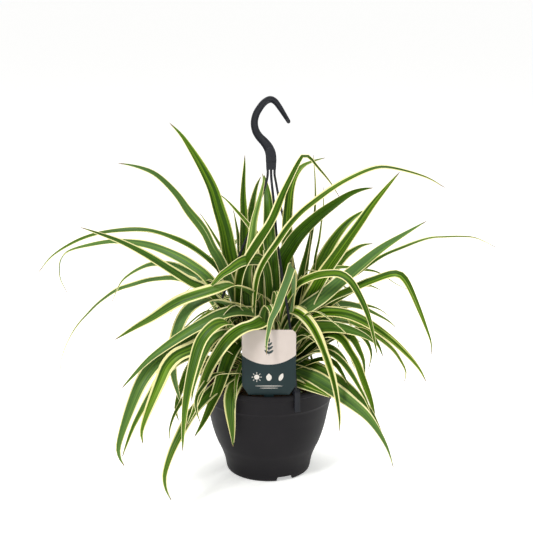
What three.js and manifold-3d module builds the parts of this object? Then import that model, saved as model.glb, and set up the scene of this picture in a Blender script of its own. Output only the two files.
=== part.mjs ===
// Spider plant in a plastic hanging pot: pot, soil, label card, three-armed hanger and the foliage.
// Millimetres, +Z up, the front of the pot faces -Y, the pot's foot stands on z = 0 and its axis is the Z axis.
// Azimuths are degrees in plan, from +X (the viewer's right) towards +Y (the back).
import * as THREE from "three";
import { mergeVertices } from "three/addons/utils/BufferGeometryUtils.js";
import Module from "manifold-3d";

const wasm = await Module();
wasm.setup();

const CLEARANCE = 0.3; // between neighbouring pieces

// Pot
const POT_HEIGHT = 110;
const RIM_RADIUS = 75;
const WALL = 1.6;
const FLOOR_UNDERSIDE = 6.2;
const FLOOR_TOP = FLOOR_UNDERSIDE + WALL;
const FOOT_INNER_RADIUS = 41.5;
const POT_SIDES = 40;
const NOTCH_WIDTH = 20;
const NOTCH_HEIGHT = 5.6;
const DRAIN_RADIUS = 3;
const DRAIN_CIRCLE = 26;
const DRAIN_COUNT = 5;

// Soil and crown
const SOIL_TOP = 98;
const SOIL_DOME = 1.2;
const CROWN_RADIUS = 34;
const CROWN_FOOT = 80;
const CROWN_TOP = 162; // of the bundle of sheaths that the blades grow from

// Label card
const CARD_WIDTH = 57.6;
const CARD_BOTTOM = 111;
const CARD_TOP = 183.5;
const CARD_THICKNESS = 1;
const CARD_CENTRE_X = 0.6;
const CARD_FRONT_Y = -69.3;
const CARD_CORNER = 6;
const CARD_CHAMFER = [7, 10.5];
const STAKE_WIDTH = 10;
const STAKE_FOOT = 84;

// Hanger
const ARM_AZIMUTHS = { front: -66, left: 174, back: 54 };
const HOOK_DEPTH = 6.4;
const HOOK_RIM = 1.6;
const HOOK_RECESS = 1.5;
const COLLAR_BOTTOM = 343.5;
const COLLAR_CENTRE_X = 3;
const ARM_WIDTH = 2.6;
const ARM_TOP_SPREAD = 4.6;
const CLIP_WIDTH = 6.4;
const CLIP_WALL = 1.8;
const CLIP_TOP = 117.2;
const CLIP_OUTER_FOOT = 92;
const CLIP_INNER_FOOT = 102;

// Leaves
const LEAF_THICKNESS = 1;
const LEAF_FOLD = 0.17; // depth of the channel along the midrib, as a share of the width
const LEAF_STEP = 37; // length of a blade segment
const LEAF_STEPS = [5, 10];
const NARROW_LEAF = 17.5; // a leaf narrower than this is a keeled strap without a channel
const LEAST_LEAF = 40; // mm3
const SLIVER = 0.3; // detail finer than this is merged where leaves cross
const TOUCHING = 4e-3; // corners closer than this touch
const APART = 0.02;

const plastic = new THREE.MeshStandardMaterial({ color: "#343235", roughness: 0.5 });
const hangerPlastic = new THREE.MeshStandardMaterial({ color: "#32343c", roughness: 0.45 });
const pottingMix = new THREE.MeshStandardMaterial({ color: "#3a2a1e", roughness: 1 });
const cardStock = new THREE.MeshStandardMaterial({ color: "#d3c7be", roughness: 0.6 });
const leafGreen = new THREE.MeshStandardMaterial({ color: "#4c8420", roughness: 0.5 });

const radians = (degrees) => (degrees * Math.PI) / 180;
const heading = (azimuth) =>
  new THREE.Vector3(Math.cos(radians(azimuth)), Math.sin(radians(azimuth)), 0);

// ---- solids ----

function solidOf(geometry) {
  const bare = geometry.clone();
  bare.deleteAttribute("normal");
  bare.deleteAttribute("uv");
  const merged = mergeVertices(bare);
  return new wasm.Manifold(
    new wasm.Mesh({
      numProp: 3,
      vertProperties: new Float32Array(merged.attributes.position.array),
      triVerts: new Uint32Array(merged.index.array),
    }),
  );
}

function meshOf(solid, name, material) {
  const { vertProperties, triVerts } = solid.getMesh();
  const geometry = new THREE.BufferGeometry()
    .setAttribute("position", new THREE.BufferAttribute(vertProperties, 3))
    .setIndex(new THREE.BufferAttribute(triVerts, 1));
  geometry.computeVertexNormals();
  const mesh = new THREE.Mesh(geometry, material);
  mesh.name = name;
  return mesh;
}

const fused = (solids) => wasm.Manifold.union(solids);
const largestFirst = (solid) => solid.decompose().sort((a, b) => b.volume() - a.volume());

// A closed profile of [radius, height] points, turned round the Z axis.
function turned(profile, sides) {
  const points = profile.map(([r, z]) => new THREE.Vector2(r, z));
  return solidOf(new THREE.LatheGeometry([...points, points[0]], sides).rotateX(Math.PI / 2));
}

function box(size, centre, azimuth = 0) {
  return solidOf(
    new THREE.BoxGeometry(...size).translate(...centre).rotateZ(radians(azimuth)),
  );
}

// A shape drawn in the XZ plane, thickened from y = front to y = front + depth.
function plate(shape, front, depth, curveSegments = 6) {
  const geometry = new THREE.ExtrudeGeometry(shape, { depth, bevelEnabled: false, curveSegments });
  return solidOf(geometry.rotateX(Math.PI / 2).translate(0, front + depth, 0));
}

// ---- pot and soil ----

const OUTER_WALL = [
  [45, 0], [47, 1.5], [48, 5], [48.6, 9], [50.2, 16], [52.3, 22], [55, 28.5], [57.9, 34.5],
  [62, 46], [65, 57.5], [67.4, 69.5], [69.1, 77], [70.9, 86], [72.6, 88.2], [73.5, 104],
  [RIM_RADIUS, 105.2], [RIM_RADIUS, 109], [74, POT_HEIGHT], [72.6, POT_HEIGHT],
];
const INNER_WALL = [
  [71.7, 109], [71.5, 104], [70.4, 87], [67.4, 77], [63.3, 57.5], [60.2, 46], [56, 34.5],
  [50.4, 22], [47.6, 13], [45, FLOOR_TOP],
];

function pot() {
  const shell = turned(
    [
      ...OUTER_WALL, ...INNER_WALL, [0, FLOOR_TOP], [0, FLOOR_UNDERSIDE],
      [FOOT_INNER_RADIUS - 1, FLOOR_UNDERSIDE], [FOOT_INNER_RADIUS, 0],
    ],
    POT_SIDES,
  );
  const notches = Object.values(ARM_AZIMUTHS).map((azimuth) =>
    box([16, NOTCH_WIDTH, 2 * NOTCH_HEIGHT], [46, 0, 0], azimuth),
  );
  const drains = Array.from({ length: DRAIN_COUNT }, (_, i) => {
    const at = heading((360 / DRAIN_COUNT) * i + 18).multiplyScalar(DRAIN_CIRCLE);
    const hole = new THREE.CylinderGeometry(DRAIN_RADIUS, DRAIN_RADIUS, 6, 12);
    return solidOf(hole.rotateX(Math.PI / 2).translate(at.x, at.y, FLOOR_UNDERSIDE + WALL / 2));
  });
  return shell.subtract(fused([...notches, ...drains]));
}

function soil() {
  const inside = INNER_WALL.slice(2).reverse().map(([r, z]) => [r - 2 * CLEARANCE, z]);
  inside[0][1] = FLOOR_TOP + CLEARANCE;
  const hole = CROWN_RADIUS + CLEARANCE;
  const body = turned(
    [
      [0, FLOOR_TOP + CLEARANCE], ...inside, [70.6, SOIL_TOP - 1], [hole, SOIL_TOP + SOIL_DOME],
      [hole, CROWN_FOOT - CLEARANCE], [0, CROWN_FOOT - CLEARANCE],
    ],
    POT_SIDES,
  );
  const slot = box(
    [STAKE_WIDTH + 2 * CLEARANCE, CARD_THICKNESS + 2 * CLEARANCE, 80],
    [CARD_CENTRE_X, CARD_FRONT_Y + CARD_THICKNESS / 2, STAKE_FOOT - CLEARANCE + 40],
  );
  return body.subtract(slot);
}

// ---- label card ----

function label() {
  const half = CARD_WIDTH / 2;
  const [chamferX, chamferZ] = CARD_CHAMFER;
  const stake = STAKE_WIDTH / 2;
  const card = new THREE.Shape();
  card.moveTo(-half, CARD_BOTTOM + chamferZ);
  card.lineTo(-half + chamferX, CARD_BOTTOM);
  card.lineTo(-stake, CARD_BOTTOM);
  card.lineTo(-stake, STAKE_FOOT + 8);
  card.lineTo(0, STAKE_FOOT);
  card.lineTo(stake, STAKE_FOOT + 8);
  card.lineTo(stake, CARD_BOTTOM);
  card.lineTo(half - chamferX, CARD_BOTTOM);
  card.lineTo(half, CARD_BOTTOM + chamferZ);
  card.lineTo(half, CARD_TOP - CARD_CORNER);
  card.absarc(half - CARD_CORNER, CARD_TOP - CARD_CORNER, CARD_CORNER, 0, Math.PI / 2);
  card.lineTo(-half + CARD_CORNER, CARD_TOP);
  card.absarc(-half + CARD_CORNER, CARD_TOP - CARD_CORNER, CARD_CORNER, Math.PI / 2, Math.PI);
  return plate(card, CARD_FRONT_Y, CARD_THICKNESS).translate([CARD_CENTRE_X, 0, 0]);
}

// ---- hanger ----

// Hook and collar, from the hook's tip to the collar's lower end: x, z and width in the hook's plane.
const HOOK_STATIONS = [
  [21.5, 395.5, 4.2], [16.5, 403.5, 5], [11.5, 411.2, 5.8], [7, 416.8, 6.3], [2.2, 418.9, 6.8],
  [-4, 416, 7], [-9.4, 409.6, 7.3], [-13.3, 402.5, 7.6], [-15, 394, 7.8], [-13.6, 385.7, 8],
  [-9.9, 379.2, 8.4], [-4.6, 373.6, 9.2], [-0.2, 367.6, 10.3], [2.4, 361, 11.3],
  [COLLAR_CENTRE_X, 354.2, 11.6], [COLLAR_CENTRE_X, 349, 11], [COLLAR_CENTRE_X, COLLAR_BOTTOM, 10.6],
];
const HOOK_SAMPLES = 40;

// The band along the hook's centreline, narrowed by `inset` on both sides, between two shares of its length.
function hookBand(inset, from, to) {
  const line = new THREE.CatmullRomCurve3(
    HOOK_STATIONS.map(([x, z, width]) => new THREE.Vector3(x, z, width)), false, "centripetal",
  );
  const left = [];
  const right = [];
  for (let i = 0; i <= HOOK_SAMPLES; i++) {
    const share = from + ((to - from) * i) / HOOK_SAMPLES;
    const at = line.getPoint(share);
    const along = line.getTangent(share).setZ(0).normalize();
    const half = at.z / 2 - inset;
    left.push([at.x - along.y * half, at.y + along.x * half]);
    right.push([at.x + along.y * half, at.y - along.x * half]);
  }
  return { left, right };
}

function hook() {
  const outer = hookBand(0, 0, 1);
  const shape = new THREE.Shape();
  const [tipX, tipZ, tipWidth] = HOOK_STATIONS[0];
  const start = outer.right[0];
  shape.moveTo(...start);
  outer.right.slice(1).forEach((p) => shape.lineTo(...p));
  outer.left.reverse().forEach((p) => shape.lineTo(...p));
  const angle = (p) => Math.atan2(p[1] - tipZ, p[0] - tipX);
  shape.absarc(tipX, tipZ, tipWidth / 2, angle(outer.left.at(-1)), angle(start));
  const web = hookBand(HOOK_RIM, 0.03, 0.8);
  const recess = new THREE.Shape([...web.left, ...web.right.reverse()].map(([x, z]) => new THREE.Vector2(x, z)));
  const cut = (front) => plate(recess, front, HOOK_RECESS + 1);
  const ridge = box([11.4, HOOK_DEPTH + 0.8, 1.4], [COLLAR_CENTRE_X, 0, 352.4]);
  return plate(shape, -HOOK_DEPTH / 2, HOOK_DEPTH)
    .subtract(fused([cut(-HOOK_DEPTH / 2 - 1), cut(HOOK_DEPTH / 2 - HOOK_RECESS)]))
    .add(ridge);
}

// Each arm bows outward from the collar to its clip: [distance from the axis, height].
const ARM_BOW = {
  front: [[9, 330], [15, 308], [22, 275], [35, 237], [49, 204], [57, 182], [67, 146], [72, 124]],
  left: [[2, 330], [7, 315], [17, 284], [28, 257], [44, 218], [58, 180], [68, 146], [72, 124]],
  back: [[14, 328], [20, 308], [29, 284], [42, 250], [54, 212], [62, 180], [69, 146], [72, 124]],
};
const ARM_TOP_X = { front: 0, left: -ARM_TOP_SPREAD, back: ARM_TOP_SPREAD };

function clip(azimuth) {
  const inner = RIM_RADIUS - 4.1;
  const outer = RIM_RADIUS + CLEARANCE;
  const over = POT_HEIGHT + CLEARANCE;
  const side = new THREE.Shape();
  side.moveTo(inner - CLIP_WALL, CLIP_INNER_FOOT);
  side.lineTo(inner, CLIP_INNER_FOOT);
  side.lineTo(inner, over);
  side.lineTo(outer, over);
  side.lineTo(outer, CLIP_OUTER_FOOT);
  side.lineTo(outer + CLIP_WALL + 1.2, CLIP_OUTER_FOOT);
  side.lineTo(outer + CLIP_WALL, CLIP_OUTER_FOOT + 3);
  side.lineTo(outer + CLIP_WALL, CLIP_TOP - 4);
  side.lineTo(outer - 1, CLIP_TOP);
  side.lineTo(inner, CLIP_TOP);
  side.lineTo(inner - CLIP_WALL, CLIP_TOP - 3);
  return plate(side, -CLIP_WIDTH / 2, CLIP_WIDTH).rotate([0, 0, azimuth]);
}

function arm(name) {
  const azimuth = ARM_AZIMUTHS[name];
  const out = heading(azimuth);
  const top = new THREE.Vector3(
    COLLAR_CENTRE_X + ARM_TOP_X[name] * 0.8, 0, COLLAR_BOTTOM - CLEARANCE,
  );
  const route = new THREE.CatmullRomCurve3(
    [
      top,
      top.clone().setZ(top.z - 5),
      ...ARM_BOW[name].map(([distance, z]) => out.clone().multiplyScalar(distance).setZ(z)),
      out.clone().multiplyScalar(RIM_RADIUS - 2.6).setZ(CLIP_TOP - 3),
    ],
    false, "centripetal",
  );
  const half = ARM_WIDTH / 2;
  const section = new THREE.Shape(
    [[-half, -half], [half, -half], [half, half], [-half, half]].map(([x, y]) => new THREE.Vector2(x, y)),
  );
  const strap = solidOf(
    new THREE.ExtrudeGeometry(section, { steps: 22, extrudePath: route, bevelEnabled: false }),
  );
  return strap.add(clip(azimuth));
}

// ---- foliage ----

// A leaf is a channelled blade on a midrib that starts in the crown.
// Each row holds the azimuth it leans to, its root [x, y], its greatest width, the roll of the blade about its midrib
// (one value, or one for each third of the length), and the midrib's stations [distance out from the root, height,
// shift sideways].
const LEAVES = [
  // upper left
  [160, [-6, 4], 21, -50, [[38, 236], [45, 272], [52, 295], [59, 317], [70, 338], [84, 360], [96, 376], [110, 389]]],
  [196, [-8, -6], 19, -50, [[48, 247], [55, 259], [65, 280], [82, 304], [93, 321], [115, 344], [128, 351], [144, 356], [154, 358]]],
  [150, [-8, 8], 13, 0, [[43, 233], [51, 246], [60, 259], [69, 272], [80, 286]]],
  [198, [-10, -8], 19, [-30, -10, -10], [[47, 236], [57, 247], [89, 271], [121, 284], [158, 287], [182, 284], [206, 276], [225, 265], [239, 250]]],
  [156, [-12, 4], 18, -20, [[59, 210], [84, 227], [110, 238], [136, 244], [162, 246], [189, 244], [255, 222], [261, 196], [252, 177]]],
  [205, [0, -6], 17, [-30, -50, -50], [[73, 217], [92, 228], [108, 240], [126, 253], [147, 268], [169, 281], [190, 291], [210, 300]]],
  [150, [-10, 8], 12, [-20, -50, -50], [[79, 210], [93, 214], [113, 220], [134, 220], [149, 217], [163, 211], [178, 202], [191, 191], [207, 164]]],
  [145, [-8, 10], 13, [-15, -40, -40], [[87, 195], [109, 200], [140, 198], [195, 181], [228, 165], [281, 120], [304, 91], [318, 63], [321, 47]]],
  [205, [0, -16], 22, -55, [[8, 245], [21, 249], [34, 247], [45, 241], [55, 236], [65, 227], [75, 219]]],
  // upright
  [140, [-6, 8], 14, 0, [[34, 238], [37, 264], [43, 292]]],
  [135, [-10, 8], 18, -10, [[24, 234], [25, 260], [25, 282], [26, 305], [25, 328], [23, 345], [22, 356]]],
  [110, [-6, 10], 17, -10, [[37, 238], [43, 260], [41, 283], [33, 302], [19, 322], [6, 333]]],
  [270, [-10, -12], 15, 0, [[8, 231, -14], [8, 248, -11], [8, 270, -8], [7, 292, -5], [6, 308, -1], [4, 324, 3], [3, 335, 5], [2, 343, 3]]],
  [95, [2, 12], 21, -5, [[-23, 212], [-11, 243], [8, 261], [14, 288], [27, 303], [52, 315], [79, 323]]],
  [150, [4, -2], 15, -10, [[18, 266], [29, 278], [45, 293], [56, 303], [69, 312]]],
  [358, [-16, -22], 18, [30, 40, 10], [[-14, 227, -7], [20, 292, -7], [37, 332, -7], [48, 354, -7], [54, 363, -7], [60, 360, -7], [66, 353, -7], [82, 334, -7], [92, 319, -7]]],
  [358, [-8, -24], 14, [25, 30, 30], [[-3, 229, -10], [22, 275, -10], [42, 301, -10], [58, 315, -10], [89, 337, -10], [117, 350, -10], [131, 352, -10], [173, 342, -10], [194, 331, -10]]],
  // upper right
  [25, [8, 2], 21, 60, [[7, 239], [15, 252], [25, 265], [37, 276], [55, 289], [67, 296], [92, 309], [108, 313], [123, 314]]],
  [50, [12, 6], 17, 20, [[14, 233], [15, 284], [17, 301], [19, 315], [24, 327], [31, 335], [41, 341], [56, 344], [82, 346]]],
  [40, [18, 2], 15, 10, [[27, 227], [32, 243], [36, 260], [39, 273]]],
  [42, [20, 2], 6, 0, [[30, 220], [35, 248], [40, 270], [43, 290], [44, 306], [43, 327], [41, 344], [40, 355]]],
  [78, [20, 8], 19, 5, [[16, 208], [22, 226], [24, 241], [15, 260]]],
  [50, [20, 2], 5, 0, [[48, 216], [53, 238], [59, 255], [63, 275], [66, 294], [66, 315]]],
  [40, [10, 0], 21, 35, [[58, 216], [67, 230], [76, 243], [85, 253], [96, 263], [110, 272], [126, 279], [141, 283]]],
  [-14, [8, -4], 20, [60, 60, 70], [[48, 218], [64, 245], [84, 276], [108, 313], [134, 347]]],
  [30, [12, 2], 20, 40, [[60, 212], [74, 224], [85, 234], [97, 241], [110, 246], [126, 247]]],
  [-16, [6, -8], 20, [55, 60, 40], [[30, 183], [58, 209], [87, 236], [117, 263], [140, 280], [166, 298]]],
  [8, [8, -2], 13, 5, [[56, 204], [89, 222], [123, 244], [140, 251], [174, 262], [191, 263], [209, 263], [227, 261], [251, 250]]],
  [20, [8, 0], 11, 15, [[44, 210], [63, 225], [84, 227], [102, 223], [121, 219], [134, 212], [147, 203], [162, 195]]],
  [-15, [8, -6], 15, [20, 40, 30], [[41, 187], [59, 201], [78, 212], [107, 227], [132, 237], [140, 234], [168, 177], [173, 163], [174, 150]]],
  // lower right
  [-36, [6, -10], 13, 50, [[14, 191], [32, 221], [48, 232], [67, 239], [86, 242], [98, 237], [107, 227], [121, 203], [134, 160]]],
  [-12, [6, -6], 14, 25, [[63, 196], [79, 207], [90, 214], [98, 219], [106, 221], [113, 219], [118, 217]]],
  [-54, [9, -5], 17, [35, -10, 10], [[16, 179], [29, 192], [43, 192], [57, 187], [69, 178], [89, 153], [104, 124], [112, 93], [112, 79]]],
  [-24, [8, -6], 17, 35, [[29, 177], [51, 189], [67, 192], [83, 192], [99, 188], [128, 174], [150, 158], [167, 141], [175, 128]]],
  [-10, [8, -2], 15, 25, [[39, 168], [61, 178], [83, 177], [103, 167], [119, 157], [131, 147], [139, 136], [146, 122], [145, 111]]],
  [-28, [8, -8], 21, 55, [[25, 159], [45, 172], [64, 177], [82, 178], [98, 176], [111, 172], [121, 166]]],
  [14, [10, 0], 16, 30, [[44, 180], [59, 185], [73, 187], [87, 185], [99, 181], [111, 175], [124, 168], [133, 162], [141, 155]]],
  [24, [10, 2], 15, 20, [[53, 169], [72, 178], [92, 179], [111, 177], [129, 171], [145, 160]]],
  [-40, [6, -12], 21, [40, 20, -30], [[23, 123], [37, 123], [58, 121], [79, 116], [112, 103], [127, 95], [140, 84], [153, 68], [163, 48]]],
  [-34, [8, -8], 16, 15, [[27, 131], [48, 131], [71, 126], [90, 118], [106, 108], [120, 96], [131, 81], [139, 68]]],
  [-52, [6, -12], 17, 30, [[29, 116], [46, 116], [66, 116], [83, 116], [97, 115]]],
  [-32, [8, -8], 19, [25, 0, 60], [[44, 155], [59, 165], [72, 170], [83, 166], [91, 157], [99, 147], [106, 134], [120, 104], [126, 86]]],
  [-25, [8, -6], 17, 30, [[51, 154], [68, 166], [82, 170], [91, 166], [99, 154], [104, 144], [107, 127]]],
  [-20, [8, -4], 16, 10, [[64, 159], [80, 169], [95, 169], [104, 162], [110, 148], [108, 130]]],
  [-15, [8, -2], 17, 30, [[73, 163], [90, 169], [103, 168], [115, 156], [122, 142]]],
  [-38, [8, -8], 15, 5, [[45, 144], [61, 151], [75, 152], [90, 145], [100, 136], [111, 123], [121, 110], [128, 97]]],
  [-28, [8, -4], 17, 30, [[43, 142], [57, 152], [72, 151], [83, 144], [91, 135]]],
  [-34, [8, -6], 15, 15, [[51, 136], [65, 141], [77, 139], [86, 130], [95, 118]]],
  // towards the viewer
  [265, [10, -16], 17, [-90, -50, 40], [[7, 204, 16], [15, 226, 17], [27, 247, 17], [35, 239, 14], [44, 221, 8], [53, 204, 2], [58, 196, -2], [63, 186, -4], [67, 174, -6], [70, 161, -6]]],
  [262, [-2, -10], 20, 10, [[14, 158, 1], [22, 183, 0], [33, 203, 6], [41, 198, 11], [46, 189, 11]]],
  [250, [-4, -8], 12, 0, [[3, 228, -3], [6, 243, -5], [11, 244, -9], [11, 229, -8], [12, 218, -7]]],
  [255, [-6, -14], 20, -30, [[26, 151, -11], [37, 164, -14], [44, 153, -16], [46, 143, -16]]],
  [250, [-10, -16], 6, 0, [[36, 139, -6], [49, 132, -6], [61, 124, -4], [71, 113, -1], [73, 99, -1]]],
  // lower left
  [213, [2, -10], 22, [40, -40, -80], [[5, 188], [26, 210], [38, 218], [50, 223], [64, 222], [113, 216], [149, 202], [166, 196], [190, 186]]],
  [216, [-6, -8], 21, [40, -30, -60], [[31, 191], [49, 202], [67, 209], [82, 209], [95, 205], [105, 195], [116, 167], [117, 139], [108, 100]]],
  [222, [0, -12], 17, -35, [[6, 182], [27, 191], [48, 196], [69, 196], [90, 192], [110, 187], [149, 174], [165, 167], [199, 145]]],
  [224, [-6, -10], 22, -40, [[49, 167], [71, 176], [92, 177], [149, 164], [163, 154], [176, 139], [202, 85], [201, 73], [195, 61]]],
  [230, [-8, -10], 22, -35, [[65, 162], [91, 170], [114, 170], [135, 168], [148, 161], [157, 149], [181, 113], [186, 101], [184, 87]]],
  [218, [-8, -8], 16, -20, [[76, 157], [96, 154], [115, 149], [132, 137], [147, 120], [158, 106], [167, 93], [175, 78], [183, 61]]],
  [240, [-8, -12], 17, -20, [[65, 188], [83, 195], [98, 195], [112, 191], [123, 184], [137, 162], [151, 127], [156, 100], [158, 79]]],
  [215, [-8, -8], 16, -20, [[80, 145], [92, 138], [99, 128], [104, 117], [108, 107], [111, 96], [110, 88], [108, 81]]],
  [235, [-6, -12], 16, -15, [[52, 173], [75, 180], [92, 177], [104, 168], [113, 156], [120, 144], [125, 133], [128, 120]]],
  [245, [0, -14], 19, -25, [[40, 188, 14], [54, 189, 13], [63, 189, 11], [70, 189, 7], [78, 186, 1], [86, 181, -4], [94, 173, -9], [107, 152, -18], [117, 130, -23], [125, 108, -28], [132, 93, -33]]],
  [236, [-8, -12], 19, -20, [[40, 164], [48, 161], [57, 155], [66, 144], [82, 120], [91, 110], [101, 99], [112, 89], [124, 81]]],
  [231, [-8, -14], 16, -10, [[36, 125], [81, 117], [110, 104], [131, 86], [146, 69], [156, 50], [157, 42], [155, 31], [148, 16]]],
  [243, [-13, -14], 19, -15, [[11, 123], [32, 124], [51, 118], [61, 107], [61, 93], [59, 79], [57, 64], [56, 49]]],
  [222, [-8, -10], 11, 0, [[80, 143], [93, 131], [104, 118], [114, 107], [122, 98], [127, 89], [130, 78], [129, 69]]],
  [240, [-8, -12], 11, 0, [[97, 142], [117, 137], [130, 129], [132, 121], [130, 111], [125, 99]]],
];

// Leaves at the back and inside the tuft, placed by rule.
// Sector of azimuths, count, and the ranges of reach, rise, droop (tip below the crest) and width.
const TUFTS = [
  { sector: [72, 118], count: 9, reach: [90, 190], rise: [90, 150], droop: [30, 130], width: [12, 16] },
  { sector: [66, 160], count: 4, reach: [40, 70], rise: [120, 160], droop: [0, 20], width: [12, 16] },
  { sector: [190, 282], count: 6, reach: [28, 44], rise: [50, 90], droop: [0, 20], width: [10, 15] },
  { sector: [-48, 40], count: 6, reach: [40, 70], rise: [50, 110], droop: [0, 30], width: [10, 15] },
];
const TUFT_SEED = 11;
const TUFT_FOOT = 106;

// A small repeatable random number generator.
function seeded(seed) {
  let state = seed;
  return () => {
    state = (state * 1664525 + 1013904223) % 4294967296;
    return state / 4294967296;
  };
}

function tuftLeaves() {
  const random = seeded(TUFT_SEED);
  const pick = ([low, high]) => low + (high - low) * random();
  return TUFTS.flatMap(({ sector, count, reach, rise, droop, width }) =>
    Array.from({ length: count }, (_, i) => {
      const azimuth = sector[0] + ((sector[1] - sector[0]) * (i + 0.2 + 0.6 * random())) / count;
      const [far, high, fall] = [pick(reach), pick(rise), pick(droop)];
      const foot = heading(azimuth).multiplyScalar(8 + 10 * random());
      const crest = TUFT_FOOT + high;
      return [
        azimuth, [foot.x, foot.y], pick(width), 20 * random() - 10,
        [[0.2 * far, TUFT_FOOT + 0.62 * high], [0.5 * far, crest], [0.8 * far, crest - 0.35 * fall], [far, crest - fall]],
      ];
    }),
  );
}

// The roll grows from nought at the root to its first value at a third of the length.
function rollAt(roll, share) {
  const knots = Array.isArray(roll) ? [0, ...roll] : [0, roll, roll, roll];
  const k = Math.min(Math.floor(3 * share), 2);
  return knots[k] + (knots[k + 1] - knots[k]) * (3 * share - k);
}

function blade([azimuth, root, width, roll, stations]) {
  const out = heading(azimuth);
  const base = new THREE.Vector3(root[0], root[1], 0);
  const across = new THREE.Vector3(-out.y, out.x, 0);
  const at = ([distance, z, sideways = 0]) =>
    base.clone().addScaledVector(out, distance).addScaledVector(across, sideways).setZ(z);
  const midrib = new THREE.CatmullRomCurve3(
    [at([0, 92]), at([0, 104]), ...stations.map(at)], false, "centripetal",
  );
  const length = midrib.getLength();
  const steps = Math.min(Math.max(Math.round(length / LEAF_STEP), LEAF_STEPS[0]), LEAF_STEPS[1]);
  const positions = [];
  const index = [];
  for (let i = 0; i < steps; i++) {
    const share = i / steps;
    const centre = midrib.getPointAt(share);
    const along = midrib.getTangentAt(share);
    const up = along.clone().cross(across).normalize();
    const turn = radians(rollAt(roll, share));
    const side = across.clone().multiplyScalar(Math.cos(turn)).addScaledVector(up, Math.sin(turn));
    const face = up.clone().multiplyScalar(Math.cos(turn)).addScaledVector(across, -Math.sin(turn));
    const taper = Math.min(1, 0.62 + 1.5 * share) * Math.pow(1 - Math.pow(share, 2.4), 0.85);
    const half = (width * taper) / 2;
    const depth = LEAF_FOLD * width * taper;
    const edge = (way) => centre.clone().addScaledVector(side, way * half).addScaledVector(face, depth);
    const keel = centre.clone().addScaledVector(face, -LEAF_THICKNESS);
    const ring = width < NARROW_LEAF ? [edge(-1), edge(1), keel] : [edge(-1), centre, edge(1), keel];
    ring.forEach((p) => positions.push(p.x, p.y, p.z));
  }
  const tip = midrib.getPointAt(1);
  const corners = positions.length / 3 / steps;
  positions.push(tip.x, tip.y, tip.z);
  for (let i = 0; i < steps - 1; i++)
    for (let k = 0; k < corners; k++) {
      const [a, b] = [corners * i + k, corners * i + ((k + 1) % corners)];
      index.push(a, b + corners, b, a, a + corners, b + corners);
    }
  const last = corners * (steps - 1);
  for (let k = 0; k < corners; k++) index.push(last + k, corners * steps, last + ((k + 1) % corners));
  index.push(0, 1, corners - 1);
  if (corners === 4) index.push(1, 2, 3);
  const geometry = new THREE.BufferGeometry()
    .setAttribute("position", new THREE.Float32BufferAttribute(positions, 3))
    .setIndex(index);
  return solidOf(geometry);
}

function crown() {
  return turned(
    [
      [0, CROWN_FOOT], [CROWN_RADIUS, CROWN_FOOT], [CROWN_RADIUS, 100], [31, 108], [27, 124],
      [22, 142], [15, CROWN_TOP], [0, CROWN_TOP + 3],
    ],
    20,
  );
}

// Draws apart the corners where two sheets of a solid only touch, so that no edge is shared by both.
function drawnApart(solid) {
  const { geometry } = meshOf(solid, "foliage", leafGreen);
  const { position, normal } = geometry.attributes;
  const spots = new Map();
  for (let i = 0; i < position.count; i++) {
    const spot = [position.getX(i), position.getY(i), position.getZ(i)].map((v) => Math.round(v / TOUCHING)).join();
    spots.set(spot, [...(spots.get(spot) ?? []), i]);
  }
  for (const corners of spots.values()) {
    if (corners.length < 2) continue;
    for (const i of corners) {
      position.setXYZ(
        i,
        position.getX(i) - APART * normal.getX(i),
        position.getY(i) - APART * normal.getY(i),
        position.getZ(i) - APART * normal.getZ(i),
      );
    }
  }
  return new wasm.Manifold(
    new wasm.Mesh({ numProp: 3, vertProperties: position.array, triVerts: new Uint32Array(geometry.index.array) }),
  );
}

function foliage() {
  const grown = fused([crown(), ...[...LEAVES, ...tuftLeaves()].map(blade)]).simplify(SLIVER);
  const [body, ...rest] = largestFirst(grown);
  // What is left over is the skins of pockets that crossing leaves close off, which the body fills.
  if (rest.some((piece) => piece.volume() > LEAST_LEAF)) throw new Error("a leaf has come loose from the crown");
  return largestFirst(drawnApart(body))[0];
}

const plant = new THREE.Group();
plant.add(
  meshOf(pot(), "pot", plastic),
  meshOf(soil(), "soil", pottingMix),
  meshOf(label(), "label", cardStock),
  meshOf(hook(), "hanger_hook", hangerPlastic),
  ...Object.keys(ARM_AZIMUTHS).map((name) => meshOf(arm(name), `hanger_arm_${name}`, hangerPlastic)),
  meshOf(foliage(), "foliage", leafGreen),
);

export default plant;
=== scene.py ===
# Spider plant in a plastic hanging pot. Sizes are in millimetres until a mesh is made, and mm turns them
# to metres.
import math
import random
import bpy
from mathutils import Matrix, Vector


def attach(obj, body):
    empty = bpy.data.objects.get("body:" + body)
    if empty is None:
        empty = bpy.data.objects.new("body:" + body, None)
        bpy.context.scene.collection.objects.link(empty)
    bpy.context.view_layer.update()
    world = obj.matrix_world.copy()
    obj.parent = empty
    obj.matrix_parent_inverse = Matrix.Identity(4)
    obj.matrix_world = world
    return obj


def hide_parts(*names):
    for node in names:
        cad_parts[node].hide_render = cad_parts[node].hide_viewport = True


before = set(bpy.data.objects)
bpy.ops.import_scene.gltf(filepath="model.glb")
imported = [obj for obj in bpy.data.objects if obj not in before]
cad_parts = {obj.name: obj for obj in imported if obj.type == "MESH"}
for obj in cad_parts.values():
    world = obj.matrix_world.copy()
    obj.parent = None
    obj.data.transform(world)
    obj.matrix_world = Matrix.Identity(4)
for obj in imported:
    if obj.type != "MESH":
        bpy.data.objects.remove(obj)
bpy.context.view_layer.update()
mm = 0.001
print("frame loaded:", len(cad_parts), "CAD nodes")


def linear(hexColour):
    channels = [int(hexColour[i:i + 2], 16) / 255 for i in (1, 3, 5)]
    return [c / 12.92 if c < 0.04045 else ((c + 0.055) / 1.055) ** 2.4 for c in channels] + [1.0]


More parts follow.
